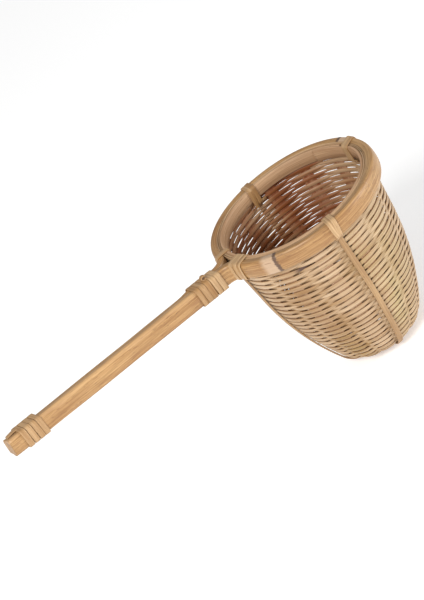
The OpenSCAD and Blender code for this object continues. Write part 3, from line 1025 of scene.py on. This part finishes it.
curl = []
for step in range(29):
    a = math.radians(-60 + 300 * step / 28)
    at = knee + rise * (5.5 * MM + 1.5 * MM * math.sin(a))
    at += handle_up * (tail_half_y + 1.4 * MM - 1.2 * MM * math.cos(a))
    curl.append(point(at - Vector((0, 1.2 * MM, 0)), rise * math.sin(a) - handle_up * math.cos(a), 0.8, 0.75))
handle_binding("neck_wraps_light", "neck_binding_inner", -1 * MM, 2, STRIP_W + 0.1 * MM, 0.1, 410)
handle_binding("neck_wraps_dark", "neck_binding_outer", 5.9 * MM, 3, STRIP_W + 0.1 * MM, 0.65, 420,
               extra=[curl])
handle_binding("end_wraps", "end_binding", rise_len - 20 * MM, 4, STRIP_W + 0.3 * MM, 0.3, 430)

# %% The tucked end of the last wrap
tuck = []
for step in range(25):
    u = step / 24
    run = rise_len - 9.5 * MM + 8 * MM * u
    place = knee + rise * run + handle_up * (hoop_w / 2 + 0.35 * MM + 0.3 * MM * math.sin(math.pi * u)) + Vector(
        (0, (-0.5 + 1.6) * MM - 1.1 * MM * u, 0))
    tuck.append(point(place, handle_up, 1 - 0.15 * u, 0.3))
lay("end_tuck", ["end_binding_tuck"], [tuck], binding_strip, STRIP_W, STRIP_T, 0.4, 12)

# %% The hoops' lashings
LASH_W = 2.6 * MM
lash_in = inner_hoop_r - inner_hoop_t - 0.3 * MM
lash_half_x = (mouth_r - lash_in) / 2 + STRIP_T / 2
lash_mid_r = (mouth_r + lash_in) / 2
lash_half_y = hoop_w / 2 + STRIP_T / 2 + 0.1 * MM


def hoop_lashing(name, node, turn, turns, tone, seed, pinch=0.0, slant=0.0, width=LASH_W, extra=(), neck=0):
    """Turns round both hoops. pinch draws them together below, slant carries the inner side along.
    neck is the side on which the strip bends away into the handle, and the turns follow it there."""
    out = Vector((math.cos(turn), math.sin(turn), 0))
    side = Vector((-out.y, out.x, 0))
    pitch = width + 0.05 * MM
    middle = out * lash_mid_r + Vector((0, 0, hoop_mid_z)) - side * pitch * turns / 2

    def gather(flat, turned):
        low = max(0.0, min(1.0, (lash_half_y - flat.y) / (2 * lash_half_y)))
        inner = max(0.0, min(1.0, (lash_half_x - flat.x) / (2 * lash_half_x)))
        return slant * (inner - 0.5) - pinch * low * low * (pitch * turned - pitch * turns / 2)

    turned = wound(middle, out, Vector((0, 0, 1)), side, lash_half_x, lash_half_y, 1.3 * MM, turns, pitch,
                   start=0.6, tone=tone, seed=seed, shift=gather, crown=1.0 * MM)
    if neck:
        turned = [follow_bend(p, out, side * neck, abs(math.pi - turn)) for p in turned]
    lay(name, [node], [turned, *extra],
        binding_strip, width, STRIP_T, 0.4, 12)


def follow_bend(p, out, neckwards, from_neck):
    """Moves a turn's outer side out by what the strip has bent away from the ring there."""
    place = p[0]
    past = max(0.0, place.dot(neckwards) - (from_neck - (math.pi - ring_half)) * hoop_mid_r)
    outer = min(1.0, max(0.0, (place.dot(out) - lash_in - 2 * MM) / (4 * MM)))
    return (place + out * outer * past * past * (1 / bend_r + 1 / hoop_mid_r) / 2, *p[1:])


def knot_path(turn):
    """A strip end that loops across the rib, under the front lashing."""
    path = []
    for k in range(33):
        u = -1 + k / 16
        place, facing = on_skin(edge_start - 0.6 * MM + 1.1 * MM * u, gap + rib_t + 0.5 * MM - 0.7 * MM * u * u,
                                turn + 3.0 * MM * u / mouth_r)
        path.append(point(place, facing, 0.75, 0.55))
    return path


def hanging_end(turn):
    """A strip end that runs down the inner hoop's face and stops at its lower edge."""
    path = []
    for k in range(25):
        u = k / 24
        r = lash_in - 0.35 * MM - 0.25 * MM * math.sin(math.pi * u)
        a = turn + (1.6 + 1.6 * u) * MM / lash_in
        path.append(point((r * math.cos(a), r * math.sin(a), rim_top - 1 * MM - 10 * MM * u),
                          (-math.cos(a), -math.sin(a), 0), 1 - 0.25 * u, 0.7))
    return path


NECK_LASH = math.radians(11)
hoop_lashing("front_lashing", "lashing_front", FRONT_AT, 2, 0.2, 440, pinch=0.62, extra=[knot_path(FRONT_AT)])
hoop_lashing("back_lashing", "lashing_back", BACK_AT, 2, 0.45, 450, extra=[hanging_end(BACK_AT)])
hoop_lashing("tip_lashing", "lashing_tip", TIP_AT, 2, 0.3, 460, slant=-4 * MM)
hoop_lashing("neck_lashing_near_wraps", "neck_lashing_near", math.pi + NECK_LASH, 3, 0.1, 470, pinch=0.2,
             slant=-1.5 * MM, width=3.1 * MM, neck=-1)
hoop_lashing("neck_lashing_far_wraps", "neck_lashing_far", math.pi - NECK_LASH, 1, 0.3, 480, slant=-2 * MM,
             width=3.4 * MM, neck=1)

# %% [markdown]
# ## The size
# The visual pieces must not grow the object; their box is printed here.

# %% Print the visual box
bpy.context.view_layer.update()
visual_box = [list(corner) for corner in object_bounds()]
print("visual box", [[round(v / MM, 1) for v in c] for c in visual_box])
